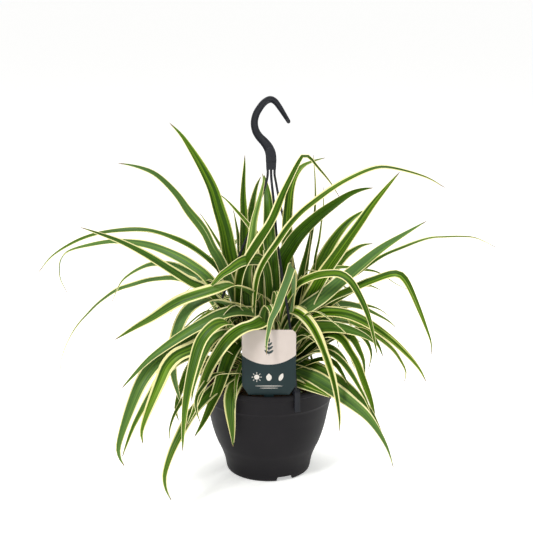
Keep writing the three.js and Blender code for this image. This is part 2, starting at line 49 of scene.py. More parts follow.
# An input's value is a number, a colour, or the node or socket that feeds it. The rest are the node's own
# settings.
def addNode(tree, kind, inputs=None, **settings):
    node = tree.nodes.new("ShaderNode" + kind)
    for name, value in settings.items():
        setattr(node, name, value)
    for name, value in (inputs or {}).items():
        if isinstance(value, bpy.types.Node):
            value = value.outputs[0]
        if isinstance(value, bpy.types.NodeSocket):
            tree.links.new(value, node.inputs[name])
        else:
            node.inputs[name].default_value = linear(value) if isinstance(value, str) else value
    return node


def newMaterial(name):
    material = bpy.data.materials.new(name)
    material.use_nodes = True
    material.node_tree.nodes.clear()
    return material, material.node_tree


# Gives a material its surface and, where there is one, its relief.
def finishMaterial(tree, inputs, height=None, relief=0.0, depth=0.1):
    if height is not None:
        bump = addNode(tree, "Bump", {"Strength": relief, "Distance": depth * mm, "Height": height})
        inputs = {**inputs, "Normal": bump}
    shader = addNode(tree, "BsdfPrincipled", inputs)
    addNode(tree, "OutputMaterial", {"Surface": shader})


def deselectAll():
    if bpy.context.object and bpy.context.object.mode != "OBJECT":
        bpy.ops.object.mode_set(mode="OBJECT")
    bpy.ops.object.select_all(action="DESELECT")


def activate(piece):
    deselectAll()
    piece.select_set(True)
    bpy.context.view_layer.objects.active = piece


# The operators run in edit mode with the whole mesh selected.
def inEditMode(piece, *steps):
    activate(piece)
    bpy.ops.object.mode_set(mode="EDIT")
    bpy.ops.mesh.select_all(action="SELECT")
    for step in steps:
        step()
    bpy.ops.object.mode_set(mode="OBJECT")


def closeUp():
    bpy.ops.mesh.remove_doubles(threshold=0.005 * mm)
    bpy.ops.mesh.normals_make_consistent(inside=False)


def applyModifier(piece, kind, **settings):
    activate(piece)
    modifier = piece.modifiers.new(kind.title(), kind)
    for name, value in settings.items():
        setattr(modifier, name, value)
    bpy.ops.object.modifier_apply(modifier=modifier.name)


def smooth(piece, degrees=40):
    activate(piece)
    bpy.ops.object.shade_smooth_by_angle(angle=math.radians(degrees))


def joined(name, parts):
    deselectAll()
    for part in parts:
        part.select_set(True)
    bpy.context.view_layer.objects.active = parts[0]
    if len(parts) > 1:
        bpy.ops.object.join()
    parts[0].name = parts[0].data.name = name
    return parts[0]


def copied(piece):
    twin = piece.copy()
    twin.data = piece.data.copy()
    bpy.context.scene.collection.objects.link(twin)
    return twin


# Turns, sizes and moves a piece, and leaves that in its mesh.
def setPlace(piece, at=(0, 0, 0), turn=(0, 0, 0), size=(1, 1, 1)):
    activate(piece)
    piece.location = Vector(at) * mm
    piece.rotation_euler = [math.radians(angle) for angle in turn]
    piece.scale = size
    bpy.ops.object.transform_apply(location=True, rotation=True, scale=True)
    return piece


# Every piece rides on the one body, takes the materials it is given and stands for its CAD nodes.
def settle(piece, slot, materials, *nodes):
    bpy.context.view_layer.update()
    for i, material in enumerate(materials):
        if i < len(piece.data.materials):
            piece.data.materials[i] = material
        else:
            piece.data.materials.append(material)
    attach(piece, "root")
    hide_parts(*nodes)
    return piece


def heading(azimuth):
    return Vector((math.cos(math.radians(azimuth)), math.sin(math.radians(azimuth)), 0))


# The smooth curve through points: its samples, each sample's share of the length, and the length.
def curveThrough(points, perSpan=20):
    points = [Vector(p) for p in points]
    ends = [2 * points[0] - points[1]] + points + [2 * points[-1] - points[-2]]
    samples = [points[0]]
    for k in range(len(points) - 1):
        p0, p1, p2, p3 = ends[k:k + 4]
        d0, d1, d2 = [max((b - a).length, 1e-6) ** 0.5 for a, b in ((p0, p1), (p1, p2), (p2, p3))]
        t1 = ((p1 - p0) / d0 - (p2 - p0) / (d0 + d1) + (p2 - p1) / d1) * d1
        t2 = ((p2 - p1) / d1 - (p3 - p1) / (d1 + d2) + (p3 - p2) / d2) * d1
        for i in range(1, perSpan + 1):
            w = i / perSpan
            square, cube = 3 * (p2 - p1) - 2 * t1 - t2, 2 * (p1 - p2) + t1 + t2
            samples.append(p1 + t1 * w + square * w ** 2 + cube * w ** 3)
    lengths = [0.0]
    for a, b in zip(samples, samples[1:]):
        lengths.append(lengths[-1] + (b - a).length)
    return samples, [d / lengths[-1] for d in lengths], lengths[-1]


def pointAt(curve, share):
    samples, shares, length = curve
    low, high = 0, len(shares) - 1
    while high - low > 1:
        middle = (low + high) // 2
        if shares[middle] <= share:
            low = middle
        else:
            high = middle
    return samples[low].lerp(samples[high], (share - shares[low]) / max(shares[high] - shares[low], 1e-9))


def tangentAt(curve, share, reach=0.004):
    return (pointAt(curve, min(1, share + reach)) - pointAt(curve, max(0, share - reach))).normalized()


# A flat grid that is bent to shape: place(u, v) says where the point at that share across and along goes.
def bentGrid(name, across, along, place):
    deselectAll()
    bpy.ops.mesh.primitive_grid_add(x_subdivisions=across, y_subdivisions=along, size=2)
    piece = bpy.context.object
    piece.name = piece.data.name = name
    for vert in piece.data.vertices:
        vert.co = place((vert.co.x + 1) / 2, (vert.co.y + 1) / 2) * mm
    return piece


# A grid rolled into a tube along a route. ring(v) gives the section's points at that share of the route.
def rolledTube(name, along, corners, ring):
    rings = [ring(i / along) for i in range(along + 1)]
    piece = bentGrid(name, corners, along, lambda u, v: rings[round(v * along)][round(u * corners) % corners])
    inEditMode(piece, lambda: bpy.ops.mesh.remove_doubles(threshold=0.001 * mm))
    activate(piece)
    bpy.ops.object.mode_set(mode="EDIT")
    bpy.ops.mesh.select_all(action="DESELECT")
    bpy.ops.mesh.select_non_manifold()
    bpy.ops.mesh.edge_face_add()
    bpy.ops.object.mode_set(mode="OBJECT")
    inEditMode(piece, closeUp)
    return piece


# A circle pulled into a closed profile of [radius, z] and spun round the Z axis.
def spun(name, profile, sides):
    deselectAll()
    bpy.ops.mesh.primitive_circle_add(vertices=len(profile), radius=mm)
    piece = bpy.context.object
    piece.name = piece.data.name = name
    for vert, (r, z) in zip(piece.data.vertices, profile):
        vert.co = Vector((r, 0, z)) * mm
    turn = {"steps": sides, "angle": 2 * math.pi, "center": (0, 0, 0), "axis": (0, 0, 1)}
    inEditMode(piece, lambda: bpy.ops.mesh.spin(**turn))
    inEditMode(piece, closeUp)
    return piece


# A circle pulled into an outline of [x, z] points, filled, and extruded from y = front by depth.
def cutOut(name, outline, front, depth):
    deselectAll()
    bpy.ops.mesh.primitive_circle_add(vertices=len(outline), radius=mm, fill_type="NGON")
    piece = bpy.context.object
    piece.name = piece.data.name = name
    for vert, (x, z) in zip(piece.data.vertices, outline):
        vert.co = Vector((x, front, z)) * mm
    push = {"value": (0, depth * mm, 0)}
    inEditMode(
        piece,
        lambda: bpy.ops.mesh.extrude_region_move(TRANSFORM_OT_translate=push),
        lambda: bpy.ops.mesh.select_all(action="SELECT"),
        lambda: bpy.ops.mesh.normals_make_consistent(inside=False),
    )
    return piece


def cutAway(piece, cutter):
    applyModifier(piece, "BOOLEAN", operation="DIFFERENCE", solver="EXACT", object=cutter)
    bpy.data.objects.remove(cutter)


def bevelEdges(piece, width, segments=2, angle=40):
    applyModifier(
        piece, "BEVEL", width=width * mm, segments=segments, limit_method="ANGLE",
        angle_limit=math.radians(angle), use_clamp_overlap=True,
    )


# ---- pot ----
armAzimuths = {"front": -66, "left": 174, "back": 54}
pot = {
    "height": 110, "rimRadius": 75, "sides": 160,
    "bowl": [[47, 1.5], [48, 5], [48.6, 9], [50.2, 16], [52.3, 22], [55, 28.5], [57.9, 34.5], [62, 46],
             [65, 57.5], [67.4, 69.5], [69.1, 77], [70.9, 86]],
    "lip": [[72.6, 88.2], [73.5, 104], [75, 105.2], [75, 109], [74, 110], [72.6, 110], [71.7, 109],
            [71.5, 104]],
    "inside": [[70.4, 87], [67.4, 77], [63.3, 57.5], [60.2, 46], [56, 34.5], [50.4, 22], [47.6, 13],
               [45, 7.8]],
    "footInside": 41.5, "footOutside": 45, "underside": 6.2, "floorTop": 7.8,
    "notch": [16, 20, 11.2], "notchCircle": 46,
    "drainRadius": 3, "drainCircle": 26, "drains": 5, "drainTurn": 18,
}


# Polypropylene, injection moulded: near black with a satin skin, a fine grain and a little dust where it
# was handled.
def makePotPlastic(name, base, worn, roughness, sheen):
    material, tree = newMaterial(name)
    place = addNode(tree, "TexCoord").outputs["Object"]
    grain = addNode(tree, "TexNoise", {"Vector": place, "Scale": 1 / (0.9 * mm), "Detail": 3.0})
    clouds = addNode(tree, "TexNoise", {"Vector": place, "Scale": 1 / (38 * mm), "Detail": 4.0})
    patches = addNode(tree, "MapRange", {"Value": clouds, "From Min": 0.42, "From Max": 0.72})
    scuffPlace = addNode(tree, "Mapping", {"Vector": place, "Scale": (1.0, 1.0, 0.14)})
    scuffs = addNode(tree, "TexNoise", {"Vector": scuffPlace, "Scale": 1 / (5 * mm), "Detail": 6.0})
    scuffMask = addNode(tree, "MapRange", {"Value": scuffs, "From Min": 0.6, "From Max": 0.78})
    dull = addNode(tree, "Math", {0: patches, 1: 0.35}, operation="MULTIPLY")
    marked = addNode(tree, "Math", {0: scuffMask, 1: 0.22}, operation="MULTIPLY")
    worked = addNode(tree, "Math", {0: dull, 1: marked}, operation="MAXIMUM")
    colour = addNode(tree, "MixRGB", {"Fac": worked, "Color1": base, "Color2": worn})
    gloss = addNode(tree, "MapRange", {
        "Value": clouds, "To Min": roughness - 0.06, "To Max": roughness + 0.1,
    })
    surface = {"Base Color": colour, "Roughness": gloss, "IOR": 1.49, "Specular IOR Level": sheen}
    finishMaterial(tree, surface, grain, 0.35, 0.06)
    return material


potPlastic = makePotPlastic("moulded_charcoal_polypropylene", "#171518", "#232023", 0.52, 0.14)
hangerPlastic = makePotPlastic("moulded_slate_polypropylene", "#16181f", "#262932", 0.36, 0.35)


def makePot():
    bowl = [[p.x, p.z] for p in curveThrough([[r, 0, z] for r, z in pot["bowl"]], 4)[0]]
    inside = [[p.x, p.z] for p in curveThrough([[r, 0, z] for r, z in pot["inside"]], 3)[0]]
    foot = pot["footInside"]
    profile = [[foot + 0.6, 0], [pot["footOutside"], 0], *bowl, *pot["lip"], *inside,
               [0, pot["floorTop"]], [0, pot["underside"]], [foot - 1, pot["underside"]], [foot, 0.8]]
    piece = spun("pot_shell", profile, pot["sides"])
    bevelEdges(piece, 0.45, 2, 32)
    for azimuth in armAzimuths.values():
        deselectAll()
        bpy.ops.mesh.primitive_cube_add(size=1)
        notchSize = [side * mm for side in pot["notch"]]
        cutter = setPlace(bpy.context.object, heading(azimuth) * pot["notchCircle"], (0, 0, azimuth), notchSize)
        bevelEdges(cutter, 1.8, 4)
        cutAway(piece, cutter)
    for i in range(pot["drains"]):
        at = heading(360 / pot["drains"] * i + pot["drainTurn"]) * pot["drainCircle"]
        deselectAll()
        bpy.ops.mesh.primitive_cylinder_add(vertices=32, radius=pot["drainRadius"] * mm, depth=10 * mm)
        cutAway(piece, setPlace(bpy.context.object, (at.x, at.y, pot["underside"])))
    smooth(piece, 34)
    return settle(piece, "pot_plastic", [potPlastic], "pot")


makePot()
print("pot made")

# ---- soil ----
soil = {
    "top": 98, "edge": 70.3, "shoulder": [70.1, 95], "floor": 8.1, "floorRadius": 44.4, "wallGap": 0.6,
    "sides": 96, "rings": 12, "hollow": 8, "seed": 5,
    "crumbs": 420, "crumbSize": [0.9, 2.9], "barkShare": 0.3, "perlite": 26,
}


# Peat and composted bark, sieved: dark crumbs with fibres, dry and quite matt, with paler flecks of bark.
def makePottingMix():
    material, tree = newMaterial("peat_and_bark_mix")
    place = addNode(tree, "TexCoord").outputs["Object"]
    crumbs = addNode(tree, "TexVoronoi", {"Vector": place, "Scale": 1 / (2.4 * mm)})
    fibres = addNode(tree, "TexNoise", {
        "Vector": place, "Scale": 1 / (1.3 * mm), "Detail": 6.0, "Roughness": 0.7,
    })
    tone = addNode(tree, "MixRGB", {"Fac": crumbs.outputs["Color"], "Color1": "#2a1b12", "Color2": "#4c3524"})
    fleck = addNode(tree, "MapRange", {"Value": fibres, "From Min": 0.56, "From Max": 0.7})
    colour = addNode(tree, "MixRGB", {"Fac": fleck, "Color1": tone, "Color2": "#7a5a3d"})
    relief = addNode(tree, "Math", {0: crumbs, 1: fibres}, operation="ADD")
    surface = {"Base Color": colour, "Roughness": 0.95, "Specular IOR Level": 0.2}
    finishMaterial(tree, surface, relief, 0.9, 1.2)
    return material


# Bark chips and crumbs: each takes its own brown by where it lies.
def makeChips(name, dark, light):
    material, tree = newMaterial(name)
    place = addNode(tree, "TexCoord").outputs["Object"]
    each = addNode(tree, "TexNoise", {"Vector": place, "Scale": 1 / (7 * mm), "Detail": 1.0})
    grain = addNode(tree, "TexNoise", {"Vector": place, "Scale": 1 / (0.8 * mm), "Detail": 4.0})
    spread = addNode(tree, "MapRange", {"Value": each, "From Min": 0.35, "From Max": 0.65})
    colour = addNode(tree, "MixRGB", {"Fac": spread, "Color1": dark, "Color2": light})
    surface = {"Base Color": colour, "Roughness": 0.9, "Specular IOR Level": 0.25}
    finishMaterial(tree, surface, grain, 0.6, 0.4)
    return material


pottingMix = makePottingMix()
crumbBrown = makeChips("composted_bark_crumbs", "#2b1c13", "#6a4a31")
perliteWhite = makeChips("expanded_perlite", "#cfcabd", "#efece2")


def soilHeight(x, y):
    away = math.hypot(x, y) / soil["edge"]
    lumps = math.sin(x * 0.17 + 1.3) * math.cos(y * 0.21) + 0.6 * math.sin(x * 0.41 - y * 0.36)
    return soil["top"] + 1.4 * (1 - away) + 0.45 * lumps * (1 - away ** 4)


def makeSoil():
    rings = soil["rings"]
    radii = [soil["edge"] * (1 - i / rings) + soil["hollow"] * i / rings for i in range(rings + 1)]
    inside = [[r - soil["wallGap"], z] for r, z in reversed(pot["inside"])]
    top = [[radius, soil["top"]] for radius in [*radii, 0]]
    floor = [[0, soil["floor"]], [soil["floorRadius"], soil["floor"]]]
    profile = [*floor, *inside[1:], soil["shoulder"], *top]
    piece = spun("soil_bed", profile, soil["sides"])
    draw = random.Random(soil["seed"])
    for vert in piece.data.vertices:
        x, y, z = vert.co / mm
        if z > soil["top"] - 0.5:
            rough = draw.uniform(-0.5, 0.6) if math.hypot(x, y) < soil["edge"] - 1 else 0
            vert.co.z = (soilHeight(x, y) + rough) * mm
    smooth(piece, 60)
    settle(piece, "potting_mix", [pottingMix], "soil")
    print("soil made")
    # one crumb and one chip are modelled, and every other one is a copy of its own size and turn
    kinds = []
    for kind, stretch in (("crumb", (1, 0.8, 0.7)), ("chip", (1.9, 0.8, 0.45))):
        deselectAll()
        bpy.ops.mesh.primitive_ico_sphere_add(subdivisions=1, radius=mm)
        model = bpy.context.object
        model.name = kind
        for vert in model.data.vertices:
            vert.co = vert.co * draw.uniform(0.7, 1.2)
        kinds.append(setPlace(model, size=stretch))
    scattered = {"soil_crumbs": [], "soil_perlite": []}
    for i in range(soil["crumbs"] + soil["perlite"]):
        white = i >= soil["crumbs"]
        at = heading(draw.uniform(0, 360)) * (soil["edge"] - 3) * draw.uniform(0.35, 0.99) ** 0.5
        size = draw.uniform(*soil["crumbSize"]) * (0.7 if white else 1)
        model = kinds[1 if not white and draw.random() < soil["barkShare"] else 0]
        turn = [draw.uniform(-50, 50), draw.uniform(-50, 50), draw.uniform(0, 360)]
        high = soilHeight(at.x, at.y) + 0.35 * size
        part = setPlace(copied(model), (at.x, at.y, high), turn, (size, size, size))
        scattered["soil_perlite" if white else "soil_crumbs"].append(part)
    for model in kinds:
        bpy.data.objects.remove(model)
    for name, parts in scattered.items():
        layer = joined(name, parts)
        settle(layer, "potting_mix", [perliteWhite if name == "soil_perlite" else crumbBrown], "soil")


makeSoil()
print("soil crumbs scattered")

# ---- label card ----
card = {
    "width": 57.6, "bottom": 111, "top": 183.5, "thickness": 1, "centreX": 0.6, "front": -69.3, "corner": 6,
    "chamfer": [7, 10.5], "stakeWidth": 10, "stakeFoot": 84, "stakePoint": 8, "printDepth": 0.08,
    "arcSide": 155.8, "arcLow": 145,
}


def cardOutline():
    half, wide = card["width"] / 2, card["stakeWidth"] / 2
    top, bottom, corner, foot = card["top"], card["bottom"], card["corner"], card["stakeFoot"]
    point = foot + card["stakePoint"]
    chamferX, chamferZ = card["chamfer"]
    outline = [[-half, bottom + chamferZ], [-half + chamferX, bottom],
               [-wide, bottom], [-wide, point], [0, foot], [wide, point], [wide, bottom],
               [half - chamferX, bottom], [half, bottom + chamferZ]]
    for side, start in ((1, 0), (-1, 90)):
        for i in range(9):
            angle = math.radians(start + 90 * i / 8)
            x, z = side * (half - corner) + corner * math.cos(angle), top - corner + corner * math.sin(angle)
            outline.append([x, z])
    return [[x + card["centreX"], z] for x, z in outline]


# Offset-printed plastic card: a warm grey field over a dark green one, with a satin varnish.
def makeCardPrint():
    material, tree = newMaterial("printed_satin_card")
    place = addNode(tree, "TexCoord").outputs["Object"]
    parts = addNode(tree, "SeparateXYZ", {"Vector": place})
    half, drop = card["width"] / 2, card["arcSide"] - card["arcLow"]
    radius = (half ** 2 + drop ** 2) / (2 * drop)
    centre = (card["centreX"] * mm, card["front"] * mm, (card["arcLow"] + radius) * mm)
    flat = addNode(tree, "CombineXYZ", {"X": parts.outputs["X"], "Y": centre[1], "Z": parts.outputs["Z"]})
    away = addNode(tree, "VectorMath", {0: flat, 1: centre}, operation="DISTANCE").outputs["Value"]
    lower = addNode(tree, "Math", {0: away, 1: radius * mm}, operation="GREATER_THAN")
    fibre = addNode(tree, "TexNoise", {"Vector": place, "Scale": 1 / (1.1 * mm), "Detail": 5.0})
    cloud = addNode(tree, "TexNoise", {"Vector": place, "Scale": 1 / (22 * mm), "Detail": 2.0})
    shade = addNode(tree, "MapRange", {"Value": cloud, "From Min": 0.35, "From Max": 0.65, "To Max": 0.5})
    warm = addNode(tree, "MixRGB", {"Fac": shade, "Color1": "#d0c4bc", "Color2": "#c4b7ae"})
    deep = addNode(tree, "MixRGB", {"Fac": shade, "Color1": "#1c2e30", "Color2": "#152426"})
    colour = addNode(tree, "MixRGB", {"Fac": lower, "Color1": warm, "Color2": deep})
    gloss = addNode(tree, "MapRange", {"Value": fibre, "To Min": 0.38, "To Max": 0.52})
    surface = {"Base Color": colour, "Roughness": gloss, "IOR": 1.5, "Specular IOR Level": 0.2}
    finishMaterial(tree, surface, fibre, 0.08, 0.03)
    return material


# Screen-printed ink: a thin opaque film, flat in colour but for its slightly uneven cover.
def makeInk(name, full, thin):
    material, tree = newMaterial(name)
    place = addNode(tree, "TexCoord").outputs["Object"]
    cover = addNode(tree, "TexNoise", {"Vector": place, "Scale": 1 / (1.6 * mm), "Detail": 4.0})
    spread = addNode(tree, "MapRange", {"Value": cover, "From Min": 0.45, "From Max": 0.8})
    colour = addNode(tree, "MixRGB", {"Fac": spread, "Color1": full, "Color2": thin})
    finishMaterial(tree, {"Base Color": colour, "Roughness": 0.5}, cover, 0.1, 0.02)
    return material


cardPrint = makeCardPrint()
darkInk = makeInk("screen_printed_dark_ink", "#1f2f30", "#33494a")
paleInk = makeInk("screen_printed_pale_ink", "#d9d3cb", "#b9b6ae")


# A printed mark: an outline lying on the card's front, a hair proud of it.
def printed(outline):
    shifted = [[x + card["centreX"], z] for x, z in outline]
    return cutOut("mark", shifted, card["front"] - card["printDepth"], card["printDepth"] + 0.05)


def ovalOutline(x, z, wide, tall, lean=0.0, point=0.0, corners=20):
    outline = []
    for i in range(corners):
        angle = 2 * math.pi * i / corners
        narrow = 1 - point * max(0, math.sin(angle)) ** 2
        dx, dz = wide / 2 * math.cos(angle) * narrow, tall / 2 * math.sin(angle)
        turn = math.radians(lean)
        cos, sin = math.cos(turn), math.sin(turn)
        outline.append([x + dx * cos - dz * sin, z + dx * sin + dz * cos])
    return outline


def makeLabel():
    piece = cutOut("label_plate", cardOutline(), card["front"], card["thickness"])
    bevelEdges(piece, 0.18, 2)
    smooth(piece, 30)
    settle(piece, "label_card", [cardPrint], "label")
    # a leafy sprig on the upper field, and three care signs on the lower one: sun, drop and leaf
    sprig = [printed(ovalOutline(0, 162.5, 0.9, 15))]
    for z, lean, size in ((157.5, 52, 6.4), (162, 48, 6.0), (166.2, 42, 5.2)):
        for side in (1, -1):
            reach = size * 0.46
            at = (-side * reach * math.sin(math.radians(lean)), z + reach * math.cos(math.radians(lean)))
            sprig.append(printed(ovalOutline(*at, size * 0.42, size, side * lean, 0.5)))
    sprig.append(printed(ovalOutline(0, 172.2, 2.3, 5.2, 0, 0.5)))
    ink = joined("label_sprig", sprig)
    settle(ink, "label_card", [darkInk], "label")
    signs = [printed(ovalOutline(-13, 131, 5.6, 5.6))]
    for i in range(8):
        at = heading(45 * i) * 4.6
        signs.append(printed(ovalOutline(-13 + at.x, 131 + at.y, 0.8, 2, 45 * i - 90, 0, 8)))
    signs.append(printed(ovalOutline(0, 131, 6, 8.4, 0, 0.9, 28)))
    signs.append(printed(ovalOutline(13, 131, 4.4, 9, -24, 0.5)))
    signs.append(printed(ovalOutline(0, 121, 30, 0.7, 0, 0, 12)))
    signs.append(printed(ovalOutline(0, 118.6, 20, 0.6, 0, 0, 12)))
    settle(joined("label_care_signs", signs), "label_card", [paleInk], "label")


makeLabel()
print("label made")

# ---- hanger ----
hanger = {
    "depth": 6.4, "rim": 1.6, "recess": 1.5, "samples": 90, "collarX": 3, "collarBottom": 343.5,
    "ridgeZ": 352.4, "armWidth": 2.6, "armSteps": 70, "clipWidth": 6.4, "clipWall": 1.8, "clipTop": 117.2,
    "clipOuterFoot": 92, "clipInnerFoot": 102, "clearance": 0.3,
    # from the hook's tip down to the collar: x, z and width
    "hook": [[21.5, 395.5, 4.2], [16.5, 403.5, 5], [11.5, 411.2, 5.8], [7, 416.8, 6.3], [2.2, 418.9, 6.8],
             [-4, 416, 7], [-9.4, 409.6, 7.3], [-13.3, 402.5, 7.6], [-15, 394, 7.8], [-13.6, 385.7, 8],
             [-9.9, 379.2, 8.4], [-4.6, 373.6, 9.2], [-0.2, 367.6, 10.3], [2.4, 361, 11.3], [3, 354.2, 11.6],
             [3, 349, 11], [3, 343.5, 10.6]],
    # each arm bows outward: distance from the pot's axis, and height
    "front": [[9, 330], [15, 308], [22, 275], [35, 237], [49, 204], [57, 182], [67, 146], [72, 124]],
    "left": [[2, 330], [7, 315], [17, 284], [28, 257], [44, 218], [58, 180], [68, 146], [72, 124]],
    "back": [[14, 328], [20, 308], [29, 284], [42, 250], [54, 212], [62, 180], [69, 146], [72, 124]],
    "armTop": {"front": 0, "left": -3.7, "back": 3.7},
}


def hookBand(inset, start, end):
    line = curveThrough([[x, width, z] for x, z, width in hanger["hook"]])
    left, right = [], []
    for i in range(hanger["samples"] + 1):
        share = start + (end - start) * i / hanger["samples"]
        at, along = pointAt(line, share), tangentAt(line, share, 0.002)
        along.y = 0
        along.normalize()
        half = at.y / 2 - inset
        left.append([at.x - along.z * half, at.z + along.x * half])
        right.append([at.x + along.z * half, at.z - along.x * half])
    return left, right


def makeHook():
    left, right = hookBand(0, 0, 1)
    tipX, tipZ, tipWidth = hanger["hook"][0]
    begin = math.atan2(left[0][1] - tipZ, left[0][0] - tipX)
    finish = math.atan2(right[0][1] - tipZ, right[0][0] - tipX)
    sweep = (finish - begin) % (2 * math.pi)
    if math.cos(begin + sweep / 2) < 0:
        sweep -= 2 * math.pi
    bends = [begin + sweep * i / 12 for i in range(1, 12)]
    tip = [[tipX + tipWidth / 2 * math.cos(bend), tipZ + tipWidth / 2 * math.sin(bend)] for bend in bends]
    front, deep = -hanger["depth"] / 2, hanger["recess"]
    piece = cutOut("hook_band", right + left[::-1] + tip, front, hanger["depth"])
    webLeft, webRight = hookBand(hanger["rim"], 0.03, 0.8)
    for y in (front - 1, -front - deep):
        cutAway(piece, cutOut("web", webLeft + webRight[::-1], y, deep + 1))
    bevelEdges(piece, 0.55, 3, 35)
    deselectAll()
    bpy.ops.mesh.primitive_cube_add(size=mm)
    ridgeSize = (11.4, hanger["depth"] + 0.8, 1.4)
    ridge = setPlace(bpy.context.object, (hanger["collarX"], 0, hanger["ridgeZ"]), size=ridgeSize)
    bevelEdges(ridge, 0.4, 3)
    deselectAll()
    bpy.ops.mesh.primitive_cylinder_add(vertices=24, radius=1.1 * mm, depth=mm)
    gate = setPlace(bpy.context.object, (hanger["collarX"] - 0.4, front + 0.3, 357.6), (90, 0, 0))
    bevelEdges(gate, 0.25, 2)
    piece = joined("hook_and_collar", [piece, ridge, gate])
    smooth(piece, 38)
    return settle(piece, "hanger_plastic", [hangerPlastic], "hanger_hook")


def makeArm(name):
    azimuth, half = armAzimuths[name], hanger["armWidth"] / 2
    out = heading(azimuth)
    topX, topZ = hanger["collarX"] + hanger["armTop"][name], hanger["collarBottom"] - hanger["clearance"]
    top = Vector((topX, 0, topZ))
    points = [top, top - Vector((0, 0, 5)), *[out * r + Vector((0, 0, z)) for r, z in hanger[name]],
              out * (pot["rimRadius"] - 2.6) + Vector((0, 0, hanger["clipTop"] - 3))]
    route = curveThrough(points)
    corner = half * 0.42
    section = [[half, corner], [corner, half], [-corner, half], [-half, corner],
               [-half, -corner], [-corner, -half], [corner, -half], [half, -corner]]

    def ring(share):
        at, along = pointAt(route, share), tangentAt(route, share)
        side = along.cross(out).normalized()
        face = side.cross(along)
        return [at + side * a + face * b for a, b in section]

    strap = rolledTube("strap", hanger["armSteps"], 8, ring)
    inner, outer = pot["rimRadius"] - 4.1, pot["rimRadius"] + hanger["clearance"]
    wall, over, high = hanger["clipWall"], pot["height"] + hanger["clearance"], hanger["clipTop"]
    outerFoot, innerFoot = hanger["clipOuterFoot"], hanger["clipInnerFoot"]
    side = [[inner - wall, innerFoot], [inner, innerFoot], [inner, over], [outer, over], [outer, outerFoot],
            [outer + wall + 1.2, outerFoot], [outer + wall, outerFoot + 3], [outer + wall, high - 4],
            [outer + wall - 0.5, high - 2], [outer - 1, high], [inner, high], [inner - wall, high - 3]]
    clip = cutOut("clip", side, -hanger["clipWidth"] / 2, hanger["clipWidth"])
    bevelEdges(clip, 0.4, 2)
    setPlace(clip, turn=(0, 0, azimuth))
    piece = joined("strap_and_clip_" + name, [strap, clip])
    smooth(piece, 38)
    return settle(piece, "hanger_plastic", [hangerPlastic], "hanger_arm_" + name)


makeHook()
for armName in armAzimuths:
    makeArm(armName)
print("hanger made")
